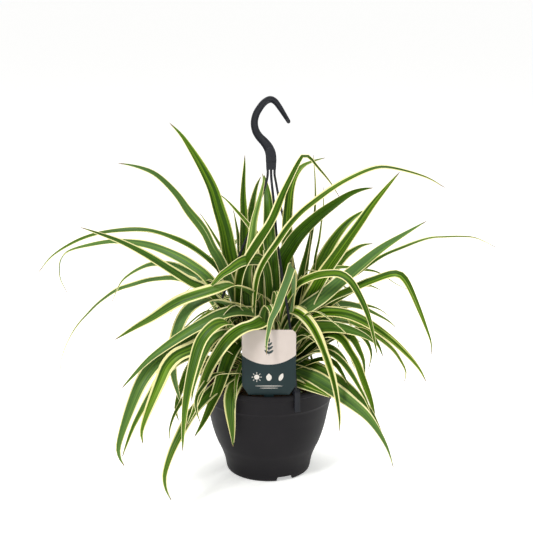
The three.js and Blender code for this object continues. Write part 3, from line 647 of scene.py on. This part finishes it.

# ---- leaves ----
# Each row: the azimuth a leaf leans to, its root [x, y], its greatest width, the roll of the blade about its
# midrib (or three rolls, one at each third of its length), the midrib's stations [distance out from the root,
# height, shift sideways], and where it differs, its own look: its painted sheen is how much grey-green of
# overhead light reflected on the blade is painted into its colour, margin the cream share of each half, tone
# from dark 0 to light 1.
leafRows = {
    "leaves_upper_left": [
        [160, [-6, 4], 21, -50, [[38, 236], [45, 272], [52, 295], [59, 317], [70, 338], [84, 360], [96, 376],
         [110, 389]], {"bloom": 0.05, "margin": 0.1, "tone": 0.9}],
        [196, [-8, -6], 19, -50, [[48, 247], [55, 259], [65, 280], [82, 304], [93, 321], [115, 344],
         [128, 351], [144, 356], [154, 358]], {"bloom": 0.3, "margin": 0.12}],
        [150, [-8, 8], 13, 0, [[43, 233], [51, 246], [60, 259], [69, 272], [80, 286]]],
        [198, [-10, -8], 19, [-30, -10, -10], [[47, 236], [57, 247], [89, 271], [121, 284], [158, 287],
         [182, 284], [206, 276], [225, 265], [239, 250]], {"bloom": 0.1, "margin": 0.14}],
        [156, [-12, 4], 18, -20, [[59, 210], [84, 227], [110, 238], [136, 244], [162, 246], [189, 244],
         [255, 222], [261, 196], [252, 177]], {"bloom": 0.35}],
        [205, [0, -6], 17, [-30, -50, -50], [[73, 217], [92, 228], [108, 240], [126, 253], [147, 268],
         [169, 281], [190, 291], [210, 300]]],
        [150, [-10, 8], 12, [-20, -50, -50], [[79, 210], [93, 214], [113, 220], [134, 220], [149, 217],
         [163, 211], [178, 202], [191, 191], [207, 164]], {"bloom": 0.4, "tone": 0.2}],
        [145, [-8, 10], 13, [-15, -40, -40], [[87, 195], [109, 200], [140, 198], [195, 181], [228, 165],
         [281, 120], [304, 91], [318, 63], [321, 47]], {"bloom": 0.35}],
        [205, [0, -16], 22, -55, [[8, 245], [21, 249], [34, 247], [45, 241], [55, 236], [65, 227],
         [75, 219]], {"bloom": 0.1, "margin": 0.14}],
    ],
    "leaves_upright": [
        [140, [-6, 8], 14, 0, [[34, 238], [37, 264], [43, 292]]],
        [135, [-10, 8], 18, -10, [[24, 234], [25, 260], [25, 282], [26, 305], [25, 328], [23, 345],
         [22, 356]], {"margin": 0.12}],
        [110, [-6, 10], 17, -10, [[37, 238], [43, 260], [41, 283], [33, 302], [19, 322], [6, 333]]],
        [270, [-10, -12], 15, 0, [[8, 231, -14], [8, 248, -11], [8, 270, -8], [7, 292, -5], [6, 308, -1],
         [4, 324, 3], [3, 335, 5], [2, 343, 3]]],
        [95, [2, 12], 21, -5, [[-23, 212], [-11, 243], [8, 261], [14, 288], [27, 303], [52, 315],
         [79, 323]], {"margin": 0.12, "tone": 0.3}],
        [150, [4, -2], 15, -10, [[18, 266], [29, 278], [45, 293], [56, 303], [69, 312]]],
        [358, [-16, -22], 18, [30, 40, 10], [[-14, 227, -7], [20, 292, -7], [37, 332, -7], [48, 354, -7],
         [54, 363, -7], [60, 360, -7], [66, 353, -7], [82, 334, -7], [92, 319, -7]]],
        [358, [-8, -24], 14, [25, 30, 30], [[-3, 229, -10], [22, 275, -10], [42, 301, -10], [58, 315, -10],
         [89, 337, -10], [117, 350, -10], [131, 352, -10], [173, 342, -10], [194, 331, -10]]],
    ],
    "leaves_upper_right": [
        [25, [8, 2], 21, 60, [[7, 239], [15, 252], [25, 265], [37, 276], [55, 289], [67, 296], [92, 309],
         [108, 313], [123, 314]], {"bloom": 0, "margin": 0.06, "tone": 0.1}],
        [50, [12, 6], 17, 20, [[14, 233], [15, 284], [17, 301], [19, 315], [24, 327], [31, 335], [41, 341],
         [56, 344], [82, 346]]],
        [40, [18, 2], 15, 10, [[27, 227], [32, 243], [36, 260], [39, 273]]],
        [42, [20, 2], 6, 0, [[30, 220], [35, 248], [40, 270], [43, 290], [44, 306], [43, 327], [41, 344],
         [40, 355]]],
        [78, [20, 8], 19, 5, [[16, 208], [22, 226], [24, 241], [15, 260]]],
        [50, [20, 2], 5, 0, [[48, 216], [53, 238], [59, 255], [63, 275], [66, 294], [66, 315]]],
        [40, [10, 0], 21, 35, [[58, 216], [67, 230], [76, 243], [85, 253], [96, 263], [110, 272], [126, 279],
         [141, 283]]],
        [-14, [8, -4], 20, [60, 60, 70], [[48, 218], [64, 245], [84, 276], [108, 313], [134, 347]]],
        [30, [12, 2], 20, 40, [[60, 212], [74, 224], [85, 234], [97, 241], [110, 246], [126, 247]]],
        [-16, [6, -8], 20, [55, 60, 40], [[30, 183], [58, 209], [87, 236], [117, 263], [140, 280],
         [166, 298]], {"bloom": 0.45, "margin": 0.12}],
        [8, [8, -2], 13, 5, [[56, 204], [89, 222], [123, 244], [140, 251], [174, 262], [191, 263], [209, 263],
         [227, 261], [251, 250]]],
        [20, [8, 0], 11, 15, [[44, 210], [63, 225], [84, 227], [102, 223], [121, 219], [134, 212], [147, 203],
         [162, 195]]],
        [-15, [8, -6], 15, [20, 40, 30], [[41, 187], [59, 201], [78, 212], [107, 227], [132, 237], [140, 234],
         [168, 177], [173, 163], [174, 150]]],
    ],
    "leaves_lower_right": [
        [-36, [6, -10], 13, 50, [[14, 191], [32, 221], [48, 232], [67, 239], [86, 242], [98, 237], [107, 227],
         [121, 203], [134, 160]]],
        [-12, [6, -6], 14, 25, [[63, 196], [79, 207], [90, 214], [98, 219], [106, 221], [113, 219],
                                 [118, 217]]],
        [-54, [9, -5], 17, [35, -10, 10], [[16, 179], [29, 192], [43, 192], [57, 187], [69, 178], [89, 153],
         [104, 124], [112, 93], [112, 79]], {"margin": 0.42, "bloom": 0}],
        [-24, [8, -6], 17, 35, [[29, 177], [51, 189], [67, 192], [83, 192], [99, 188], [128, 174], [150, 158],
         [167, 141], [175, 128]]],
        [-10, [8, -2], 15, 25, [[39, 168], [61, 178], [83, 177], [103, 167], [119, 157], [131, 147],
         [139, 136], [146, 122], [145, 111]]],
        [-28, [8, -8], 21, 55, [[25, 159], [45, 172], [64, 177], [82, 178], [98, 176], [111, 172],
                                 [121, 166]]],
        [14, [10, 0], 16, 30, [[44, 180], [59, 185], [73, 187], [87, 185], [99, 181], [111, 175], [124, 168],
         [133, 162], [141, 155]], {"bloom": 0.35}],
        [24, [10, 2], 15, 20, [[53, 169], [72, 178], [92, 179], [111, 177], [129, 171], [145, 160]]],
        [-40, [6, -12], 21, [40, 20, -30], [[23, 123], [37, 123], [58, 121], [79, 116], [112, 103], [127, 95],
         [140, 84], [153, 68], [163, 48]], {"bloom": 0.35}],
        [-34, [8, -8], 16, 15, [[27, 131], [48, 131], [71, 126], [90, 118], [106, 108], [120, 96], [131, 81],
         [139, 68]]],
        [-52, [6, -12], 17, 30, [[29, 116], [46, 116], [66, 116], [83, 116], [97, 115]]],
        [-32, [8, -8], 19, [25, 0, 60], [[44, 155], [59, 165], [72, 170], [83, 166], [91, 157], [99, 147],
         [106, 134], [120, 104], [126, 86]]],
        [-25, [8, -6], 17, 30, [[51, 154], [68, 166], [82, 170], [91, 166], [99, 154], [104, 144],
                                 [107, 127]]],
        [-20, [8, -4], 16, 10, [[64, 159], [80, 169], [95, 169], [104, 162], [110, 148], [108, 130]]],
        [-15, [8, -2], 17, 30, [[73, 163], [90, 169], [103, 168], [115, 156], [122, 142]]],
        [-38, [8, -8], 15, 5, [[45, 144], [61, 151], [75, 152], [90, 145], [100, 136], [111, 123], [121, 110],
         [128, 97]]],
        [-28, [8, -4], 17, 30, [[43, 142], [57, 152], [72, 151], [83, 144], [91, 135]]],
        [-34, [8, -6], 15, 15, [[51, 136], [65, 141], [77, 139], [86, 130], [95, 118]]],
    ],
    "leaves_front": [
        [265, [10, -16], 17, [-90, -50, 40], [[7, 204, 16], [15, 226, 17], [27, 247, 17], [35, 239, 14],
         [44, 221, 8], [53, 204, 2], [58, 196, -2], [63, 186, -4], [67, 174, -6], [70, 161, -6]],
         {"bloom": 0.6, "margin": 0.16}],
        [262, [-2, -10], 20, 10, [[14, 158, 1], [22, 183, 0], [33, 203, 6], [41, 198, 11], [46, 189, 11]]],
        [250, [-4, -8], 12, 0, [[3, 228, -3], [6, 243, -5], [11, 244, -9], [11, 229, -8], [12, 218, -7]]],
        [255, [-6, -14], 20, -30, [[26, 151, -11], [37, 164, -14], [44, 153, -16], [46, 143, -16]]],
        [250, [-10, -16], 6, 0, [[36, 139, -6], [49, 132, -6], [61, 124, -4], [71, 113, -1], [73, 99, -1]]],
    ],
    "leaves_lower_left": [
        [213, [2, -10], 22, [40, -40, -80], [[5, 188], [26, 210], [38, 218], [50, 223], [64, 222], [113, 216],
         [149, 202], [166, 196], [190, 186]], {"bloom": 0.15, "margin": 0.28}],
        [216, [-6, -8], 21, [40, -30, -60], [[31, 191], [49, 202], [67, 209], [82, 209], [95, 205],
         [105, 195], [116, 167], [117, 139], [108, 100]], {"bloom": 0.45}],
        [222, [0, -12], 17, -35, [[6, 182], [27, 191], [48, 196], [69, 196], [90, 192], [110, 187],
         [149, 174], [165, 167], [199, 145]], {"bloom": 0.3}],
        [224, [-6, -10], 22, -40, [[49, 167], [71, 176], [92, 177], [149, 164], [163, 154], [176, 139],
         [202, 85], [201, 73], [195, 61]], {"bloom": 0.3}],
        [230, [-8, -10], 22, -35, [[65, 162], [91, 170], [114, 170], [135, 168], [148, 161], [157, 149],
         [181, 113], [186, 101], [184, 87]]],
        [218, [-8, -8], 16, -20, [[76, 157], [96, 154], [115, 149], [132, 137], [147, 120], [158, 106],
         [167, 93], [175, 78], [183, 61]]],
        [240, [-8, -12], 17, -20, [[65, 188], [83, 195], [98, 195], [112, 191], [123, 184], [137, 162],
         [151, 127], [156, 100], [158, 79]]],
        [215, [-8, -8], 16, -20, [[80, 145], [92, 138], [99, 128], [104, 117], [108, 107], [111, 96],
         [110, 88], [108, 81]]],
        [235, [-6, -12], 16, -15, [[52, 173], [75, 180], [92, 177], [104, 168], [113, 156], [120, 144],
         [125, 133], [128, 120]]],
        [245, [0, -14], 19, -25, [[40, 188, 14], [54, 189, 13], [63, 189, 11], [70, 189, 7], [78, 186, 1],
         [86, 181, -4], [94, 173, -9], [107, 152, -18], [117, 130, -23], [125, 108, -28], [132, 93, -33]]],
        [236, [-8, -12], 19, -20, [[40, 164], [48, 161], [57, 155], [66, 144], [82, 120], [91, 110],
         [101, 99], [112, 89], [124, 81]]],
        [231, [-8, -14], 16, -10, [[36, 125], [81, 117], [110, 104], [131, 86], [146, 69], [156, 50],
         [157, 42], [155, 31], [148, 16]]],
        [243, [-13, -14], 19, -15, [[11, 123], [32, 124], [51, 118], [61, 107], [61, 93], [59, 79], [57, 64],
         [56, 49]]],
        [222, [-8, -10], 11, 0, [[80, 143], [93, 131], [104, 118], [114, 107], [122, 98], [127, 89],
         [130, 78], [129, 69]]],
        [240, [-8, -12], 11, 0, [[97, 142], [117, 137], [130, 129], [132, 121], [130, 111], [125, 99]]],
    ],
}
# Painted sheen: the range between margin and tone is how much grey-green reflected light is painted into a
# leaf's colour.
leaf = {
    "foot": [92, 104], "across": 8, "rowSpacing": 5.5, "fold": 0.17, "thickness": 0.55, "ripple": 0.035,
    "rippleLength": [34, 70], "margin": [0.14, 0.34], "bloom": [0.0, 0.14], "tone": [0.2, 1.0], "seed": 3,
}
# Leaves at the back and inside the tuft, placed by rule: sector of azimuths, count, and ranges of the rest.
tufts = {
    "seed": 11, "foot": 106,
    "groups": [
        {"sector": [72, 118], "count": 9, "reach": [90, 190], "rise": [90, 150], "droop": [30, 130],
         "width": [12, 16]},
        {"sector": [66, 160], "count": 4, "reach": [40, 70], "rise": [120, 160], "droop": [0, 20],
         "width": [12, 16]},
        {"sector": [190, 282], "count": 6, "reach": [28, 44], "rise": [50, 90], "droop": [0, 20],
         "width": [10, 15]},
        {"sector": [-48, 40], "count": 6, "reach": [40, 70], "rise": [50, 110], "droop": [0, 30],
         "width": [10, 15]},
    ],
    # slight young leaves that fill the tuft
    "young": [
        {"sector": [130, 232], "count": 16, "reach": [50, 110], "rise": [50, 120], "droop": [10, 60],
         "width": [6, 10]},
        {"sector": [236, 300], "count": 9, "reach": [18, 34], "rise": [60, 110], "droop": [0, 14],
         "width": [7, 10]},
        {"sector": [-50, 60], "count": 16, "reach": [50, 110], "rise": [50, 120], "droop": [10, 60],
         "width": [6, 10]},
        {"sector": [30, 150], "count": 22, "reach": [60, 130], "rise": [24, 100], "droop": [24, 90],
         "width": [8, 11]},
    ],
}


# Living leaf of the variegated spider plant: a waxy strap with long parallel veins, deep green in the middle
# with cream margins whose inner edge is streaky, pale at the foot and dry at the tip, and with a painted sheen:
# grey-green, as overhead light reflected on the blade would look, painted into the colour of some leaves.
def makeLeafSkin(name, dark, green, light, cream, paintedSheenColour, roughness):
    material, tree = newMaterial(name)
    place = addNode(tree, "Attribute", attribute_name="bladePlace").outputs["Vector"]
    look = addNode(tree, "Attribute", attribute_name="bladeLook").outputs["Vector"]
    along = addNode(tree, "Attribute", attribute_name="bladeShare").outputs["Fac"]
    looks = addNode(tree, "SeparateXYZ", {"Vector": look})
    edge = addNode(tree, "SeparateXYZ", {"Vector": place}).outputs["Z"]
    veinPlace = addNode(tree, "VectorMath", {0: place, 1: (1 / 1.5, 1 / 90, 0)}, operation="MULTIPLY")
    bandPlace = addNode(tree, "VectorMath", {0: place, 1: (1 / 3.6, 1 / 160, 0)}, operation="MULTIPLY")
    veins = addNode(tree, "TexNoise", {"Vector": veinPlace, "Scale": 1.0, "Detail": 2.0})
    bands = addNode(tree, "TexNoise", {"Vector": bandPlace, "Scale": 1.0, "Detail": 1.0})
    # green, by vein and by leaf
    veinTone = addNode(tree, "MapRange", {"Value": veins, "From Min": 0.3, "From Max": 0.7})
    greens = addNode(tree, "MixRGB", {"Fac": veinTone, "Color1": dark, "Color2": green})
    lighter = addNode(tree, "MapRange", {"Value": bands, "From Min": 0.45, "From Max": 0.75})
    leafTone = addNode(tree, "Math", {0: lighter, 1: looks.outputs["Z"]}, operation="MULTIPLY")
    blade = addNode(tree, "MixRGB", {"Fac": leafTone, "Color1": greens, "Color2": light})
    # cream margins: from where the signed edge share passes 1 - margin, shifted by the bands and the veins
    across = addNode(tree, "Math", {0: edge}, operation="ABSOLUTE")
    shift = addNode(tree, "Math", {0: bands, 1: 0.3, 2: -0.15}, operation="MULTIPLY_ADD")
    shifted = addNode(tree, "Math", {0: across, 1: shift}, operation="ADD")
    fine = addNode(tree, "Math", {0: veins, 1: 0.16, 2: -0.08}, operation="MULTIPLY_ADD")
    ragged = addNode(tree, "Math", {0: shifted, 1: fine}, operation="ADD")
    start = addNode(tree, "Math", {0: 0.98, 1: looks.outputs["X"]}, operation="SUBTRACT")
    stop = addNode(tree, "Math", {0: start, 1: 0.07}, operation="ADD")
    margin = addNode(tree, "MapRange", {"Value": ragged, "From Min": start, "From Max": stop})
    streak = addNode(tree, "MapRange", {"Value": bands, "From Min": 0.7, "From Max": 0.76, "To Max": 0.55})
    creamAll = addNode(tree, "Math", {0: margin, 1: streak}, operation="MAXIMUM")
    creamTone = addNode(tree, "MixRGB", {"Fac": veinTone, "Color1": cream[0], "Color2": cream[1]})
    striped = addNode(tree, "MixRGB", {"Fac": creamAll, "Color1": blade, "Color2": creamTone})
    # painted sheen (grey-green reflected light painted in, per leaf, off the cream), pale foot and dry tip
    cover = addNode(tree, "Math", {0: 1.0, 1: creamAll}, operation="SUBTRACT")
    paintedSheenShare = addNode(tree, "Math", {0: cover, 1: looks.outputs["Y"]}, operation="MULTIPLY")
    withPaintedSheen = addNode(tree, "MixRGB", {"Fac": paintedSheenShare, "Color1": striped, "Color2": paintedSheenColour})
    fromFoot = addNode(tree, "SeparateXYZ", {"Vector": place}).outputs["Y"]
    foot = addNode(
        tree, "MapRange",
        {"Value": fromFoot, "From Min": 10.0, "From Max": 42.0, "To Min": 0.28, "To Max": 0.0},
    )
    footed = addNode(tree, "MixRGB", {"Fac": foot, "Color1": withPaintedSheen, "Color2": "#b9bf7c"})
    dry = addNode(tree, "MapRange", {"Value": along, "From Min": 0.975, "From Max": 0.99})
    colour = addNode(tree, "MixRGB", {"Fac": dry, "Color1": footed, "Color2": "#8a7350"})
    gloss = addNode(tree, "MapRange", {
        "Value": veins, "To Min": roughness - 0.06, "To Max": roughness + 0.08,
    })
    shader = {"Base Color": colour, "Roughness": gloss, "IOR": 1.45, "Specular IOR Level": 0.14}
    finishMaterial(tree, shader, veins, 0.5, 0.35)
    return material


# The sixth colour of each skin is a painted sheen: the grey-green of overhead light reflected on the blade.
leafTop = makeLeafSkin(
    "waxy_leaf_upper_side", "#142b00", "#416a02", "#86ab22", ("#e8de8c", "#f4eebd"), "#6c9059", 0.4,
)
leafUnder = makeLeafSkin(
    "matt_leaf_underside", "#274808", "#527c1c", "#8fae48", ("#dfd690", "#ece5b4"), "#83a372", 0.55,
)


# The roll grows from nought at the root to its first value at a third of the length.
def rollAt(roll, share):
    knots = [0, *roll] if isinstance(roll, list) else [0, roll, roll, roll]
    k = min(int(3 * share), 2)
    return knots[k] + (knots[k + 1] - knots[k]) * (3 * share - k)


# What a leaf's material reads: the place on the flat blade, the leaf's own look, and the share of its length.
def setBladeData(mesh, placed, looked, shared):
    for name, kind, key, values in (
        ("bladePlace", "FLOAT_VECTOR", "vector", placed), ("bladeLook", "FLOAT_VECTOR", "vector", looked),
        ("bladeShare", "FLOAT", "value", shared),
    ):
        mesh.attributes.new(name, kind, "POINT").data.foreach_set(key, values)


def makeBlade(number, row, draw):
    azimuth, root, width, roll, stations = row[:5]
    own = row[5] if len(row) > 5 else {}
    # The look drawn between margin and tone is painted sheen: grey-green reflected light painted into the
    # colour.
    margin, bloom, tone = [own.get(key, draw.uniform(*leaf[key])) for key in ("margin", "bloom", "tone")]
    phase, wave, offset = draw.uniform(0, 6.28), draw.uniform(*leaf["rippleLength"]), draw.uniform(0, 900)
    out = heading(azimuth)
    across = Vector((-out.y, out.x, 0))
    base = Vector((root[0], root[1], 0))
    points = [base + Vector((0, 0, z)) for z in leaf["foot"]]
    for distance, z, *sideways in stations:
        points.append(base + out * distance + across * (sideways[0] if sideways else 0) + Vector((0, 0, z)))
    rib = curveThrough(points)
    length = rib[2]
    rows = max(18, round(length / leaf["rowSpacing"]))
    frames = []
    for i in range(rows + 1):
        share = i / rows
        at, along = pointAt(rib, share), tangentAt(rib, share)
        up = along.cross(across).normalized()
        turn = math.radians(rollAt(roll, share))
        side = across * math.cos(turn) + up * math.sin(turn)
        face = up * math.cos(turn) - across * math.sin(turn)
        taper = min(1, 0.62 + 1.5 * share) * max(0, 1 - share ** 2.4) ** 0.85
        frames.append((at, side, face, width * taper, share))

    def place(u, v):
        at, side, face, wide, share = frames[round(v * rows)]
        e = 1 - 2 * u
        lift = leaf["fold"] * wide * abs(e) ** 1.35
        beat = phase + 6.283 * share * length / wave + (1.2 if e > 0 else 0)
        sway = leaf["ripple"] * wide * e * e * math.sin(beat)
        return at + side * (e * wide / 2) + face * (lift + sway)

    piece = bentGrid(f"blade_{number}", leaf["across"], rows, place)
    mesh = piece.data
    spots = [(u, v) for v in range(rows + 1) for u in range(leaf["across"] + 1)]
    placed, looked, shared = [], [], []
    for u, v in spots:
        e = 1 - 2 * u / leaf["across"]
        placed += [e * width / 2 + offset, v / rows * length, e]
        looked += [margin, bloom, tone]
        shared.append(v / rows)
    setBladeData(mesh, placed, looked, shared)
    inEditMode(piece, lambda: bpy.ops.mesh.remove_doubles(threshold=0.005 * mm))
    return piece


def tuftRows(groups):
    state = tufts["seed"]

    def draw():
        nonlocal state
        state = (state * 1664525 + 1013904223) % 4294967296
        return state / 4294967296

    rows = []
    for group in groups:
        low, high = group["sector"]
        for i in range(group["count"]):
            azimuth = low + (high - low) * (i + 0.2 + 0.6 * draw()) / group["count"]
            far, rise, fall = [
                group[key][0] + (group[key][1] - group[key][0]) * draw() for key in ("reach", "rise", "droop")
            ]
            root = heading(azimuth) * (8 + 10 * draw())
            crest = tufts["foot"] + rise
            width = group["width"][0] + (group["width"][1] - group["width"][0]) * draw()
            roll = 20 * draw() - 10
            stations = [[0.2 * far, tufts["foot"] + 0.62 * rise], [0.5 * far, crest],
                        [0.8 * far, crest - 0.35 * fall], [far, crest - fall]]
            rows.append([azimuth, [root.x, root.y], width, roll, stations])
    return rows


def makeLeaves():
    draw = random.Random(leaf["seed"])
    number = 0
    inner, young = tuftRows(tufts["groups"]), tuftRows(tufts["young"])
    for group, rows in {**leafRows, "leaves_inner": inner, "leaves_young": young}.items():
        blades = []
        for row in rows:
            number += 1
            blades.append(makeBlade(number, row, draw))
        piece = joined(group, blades)
        piece.data.materials.append(leafTop)
        piece.data.materials.append(leafUnder)
        applyModifier(
            piece, "SOLIDIFY", thickness=leaf["thickness"] * mm, offset=-1, use_even_offset=True,
            material_offset=1,
        )
        smooth(piece, 50)
        settle(piece, "leaf", [leafTop, leafUnder], "foliage")
        print(group, len(blades), "blades", len(piece.data.polygons), "faces")


makeLeaves()

# ---- crown ----
crown = {
    "core": [[0, 80], [30, 80], [30, 99], [26, 108], [22, 124], [17, 140], [9, 154], [0, 158]],
    "rings": [[27, 15, 34, 12], [20, 11, 52, 9], [12, 8, 66, 6]],
    # look: cream margin share, painted sheen (grey-green reflected light painted in) and tone
    "sheathWidth": 17, "thickness": 0.9, "look": [0.12, 0.1, 0.4], "seed": 8,
}


def makeCrown():
    core = spun("crown_core", crown["core"], 48)
    smooth(core, 60)
    count = len(core.data.vertices)
    setBladeData(core.data, [0] * 3 * count, [0] * 3 * count, [0] * count)
    draw = random.Random(crown["seed"])
    parts = []
    for radius, count, tall, lean in crown["rings"]:
        for i in range(count):
            azimuth = 360 / count * (i + 0.3 * draw.random()) + radius * 7
            out = heading(azimuth)
            across = Vector((-out.y, out.x, 0))
            high = tall * draw.uniform(0.8, 1.15)
            wide = crown["sheathWidth"] * draw.uniform(0.8, 1.1)
            offset = draw.uniform(0, 99)
            foot = out * (radius - 3) + Vector((0, 0, 92))

            def place(u, v):
                e = 1 - 2 * u
                half = wide / 2 * (1 - v ** 3) ** 0.8
                away = lean * v * v - 5.5 * e * e * (1 - v ** 2)
                return foot + out * away + across * (e * half) + Vector((0, 0, high * v))

            part = bentGrid("sheath", 6, 10, place)
            spots = [(u, v) for v in range(11) for u in range(7)]
            placed = []
            for u, v in spots:
                e = 1 - u / 3
                placed += [e * wide / 2 + offset, v / 10 * high, e]
            setBladeData(part.data, placed, crown["look"] * len(spots), [v / 10 * 0.95 for _, v in spots])
            parts.append(part)
    sheaths = joined("leaf_sheaths", parts)
    inEditMode(sheaths, lambda: bpy.ops.mesh.remove_doubles(threshold=0.005 * mm))
    sheaths.data.materials.append(leafUnder)
    applyModifier(sheaths, "SOLIDIFY", thickness=crown["thickness"] * mm, offset=-1)
    smooth(sheaths, 50)
    settle(sheaths, "leaf", [leafUnder], "foliage")
    settle(core, "leaf", [leafUnder], "foliage")


makeCrown()
print("crown made")

# ---- floor, light and camera ----
studio = {
    "floorSize": 90, "floorGlow": 0.5, "floor": "#f6f6f5", "cameraAt": [-2, -1257, 546.5], "pitch": 13.9,
    "focalPixels": 1174, "imageWidth": 533, "sensor": 36, "worldStrength": 0.55,
}


# Matt paper sweep: nearly white, with a faint tooth.
def makeFloor():
    material, tree = newMaterial("matt_paper_floor")
    place = addNode(tree, "TexCoord").outputs["Object"]
    tooth = addNode(tree, "TexNoise", {"Vector": place, "Scale": 1 / (30 * mm), "Detail": 3.0})
    colour = addNode(tree, "MixRGB", {"Fac": tooth, "Color1": studio["floor"], "Color2": "#fafaf9"})
    finishMaterial(tree, {
        "Base Color": colour, "Roughness": 0.9, "Specular IOR Level": 0.1, "Emission Color": colour,
        "Emission Strength": studio["floorGlow"],
    })
    deselectAll()
    bpy.ops.mesh.primitive_plane_add(size=studio["floorSize"])
    floor = bpy.context.object
    floor.name = "floor"
    floor.data.materials.append(material)


# Places are in metres here, and every light faces the middle of the part.
def addLight(name, at, size, power, towards=(0, 0, 0.2)):
    light = bpy.data.lights.new(name, "AREA")
    light.shape = "DISK"
    light.size = size
    light.energy = power
    lamp = bpy.data.objects.new(name, light)
    bpy.context.scene.collection.objects.link(lamp)
    lamp.location = at
    lamp.rotation_euler = (Vector(towards) - Vector(at)).to_track_quat("-Z", "Y").to_euler()


makeFloor()
addLight("key", (-1.0, -1.5, 1.9), size=0.55, power=30)
addLight("top", (0.2, 0.4, 2.0), size=0.7, power=20)
world = bpy.data.worlds.new("studio")
world.use_nodes = True
world.node_tree.nodes["Background"].inputs["Color"].default_value = linear("#ffffff")
world.node_tree.nodes["Background"].inputs["Strength"].default_value = studio["worldStrength"]
bpy.context.scene.world = world
bpy.context.scene.view_settings.view_transform = "Standard"

lens = bpy.data.cameras.new("camera")
lens.lens = studio["focalPixels"] / studio["imageWidth"] * studio["sensor"]
lens.sensor_width = studio["sensor"]
lens.clip_start = 0.05
camera = bpy.data.objects.new("camera", lens)
bpy.context.scene.collection.objects.link(camera)
camera.location = Vector(studio["cameraAt"]) * mm
camera.rotation_euler = (math.radians(90 - studio["pitch"]), 0, 0)
bpy.context.scene.camera = camera
print("studio set up")
